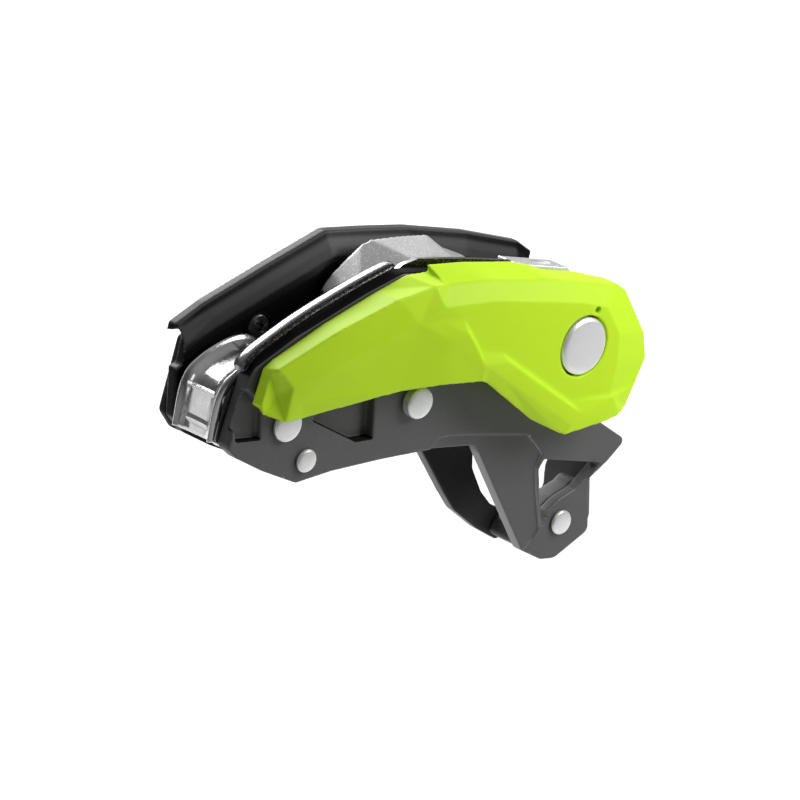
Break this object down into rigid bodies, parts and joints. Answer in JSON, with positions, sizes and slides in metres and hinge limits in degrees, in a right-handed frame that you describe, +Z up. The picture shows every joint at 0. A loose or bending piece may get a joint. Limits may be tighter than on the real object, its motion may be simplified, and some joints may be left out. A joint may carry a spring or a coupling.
{
  "type": "belay device",
  "caption": "Assisted-braking climbing belay device with a swinging side plate, a pivoting rope cam, a green release handle and a harness crossbar.",
  "frame": {"origin": "the centre of the device's bounding box", "axes": "+X along the device from the rope-guide nose to the pivot end, +Y through the thickness from the handle side to the swinging cover, +Z up from the harness crossbar to the rope channel"},
  "size_m": [0.1222, 0.0352, 0.0914],
  "materials": {
    "anodised_dark": "matt dark grey anodised aluminium",
    "polished_steel": "polished stainless steel",
    "satin_steel": "satin stainless steel",
    "cam_steel": "blasted satin steel",
    "core_aluminium": "bare aluminium",
    "green_plastic": "lime green moulded nylon",
    "black_plastic": "black glass-filled nylon",
    "spring_steel": "drawn spring steel",
    "bronze": "sintered bronze",
    "screw_black": "black oxide steel"
  },
  "bodies": {
    "frame": {"near_side_plate": "anodised_dark", "rope_guide": "polished_steel", "edge_liner": "polished_steel", "inner_wear_plate": "polished_steel", "brake_shoe": "polished_steel", "crossbar": "anodised_dark", "main_axle": "satin_steel", "guide_rivet_upper": "satin_steel", "guide_rivet_lower": "satin_steel", "shoe_rivet": "satin_steel", "crossbar_rivet": "satin_steel", "cam_return_spring": "spring_steel", "handle_return_spring": "spring_steel", "cam_stop_pin": "spring_steel", "latch_pin": "spring_steel", "axle_retaining_ring": "spring_steel", "cam_washer": "bronze", "cover_washer": "bronze"},
    "cover": {"far_side_plate": "anodised_dark", "far_cover_shell": "black_plastic", "cover_bush": "bronze", "cover_screw_left": "screw_black", "cover_screw_right": "screw_black", "cover_screw_lower": "screw_black"},
    "cam": {"cam": "cam_steel", "cam_bush": "bronze"},
    "handle": {"handle_shell": "green_plastic", "handle_core": "core_aluminium", "handle_bush": "bronze"},
    "latch": {"release_latch": "polished_steel"}
  },
  "joints": [
    {"name": "cover_swing", "type": "hinge", "parent": "frame", "child": "cover", "pos_m": [0.03671, 0.00435, 0.01324], "axis": [0, 1, 0], "range_deg": [0, 75]},
    {"name": "cam_pivot", "type": "hinge", "parent": "frame", "child": "cam", "pos_m": [0.03671, 0.00435, 0.01324], "axis": [0, 1, 0], "range_deg": [-9, 0], "stiffness_Nm_per_rad": 0.08, "springref_deg": 34.38},
    {"name": "handle_pivot", "type": "hinge", "parent": "frame", "child": "handle", "pos_m": [0.03671, 0.00435, 0.01324], "axis": [0, 1, 0], "range_deg": [0, 130], "stiffness_Nm_per_rad": 0.05, "springref_deg": -34.38},
    {"name": "latch_press", "type": "slide", "parent": "frame", "child": "latch", "axis": [-0.3355, 0, -0.942], "range_m": [0, 0.0018], "stiffness_N_per_m": 800, "springref_m": -0.002}
  ]
}
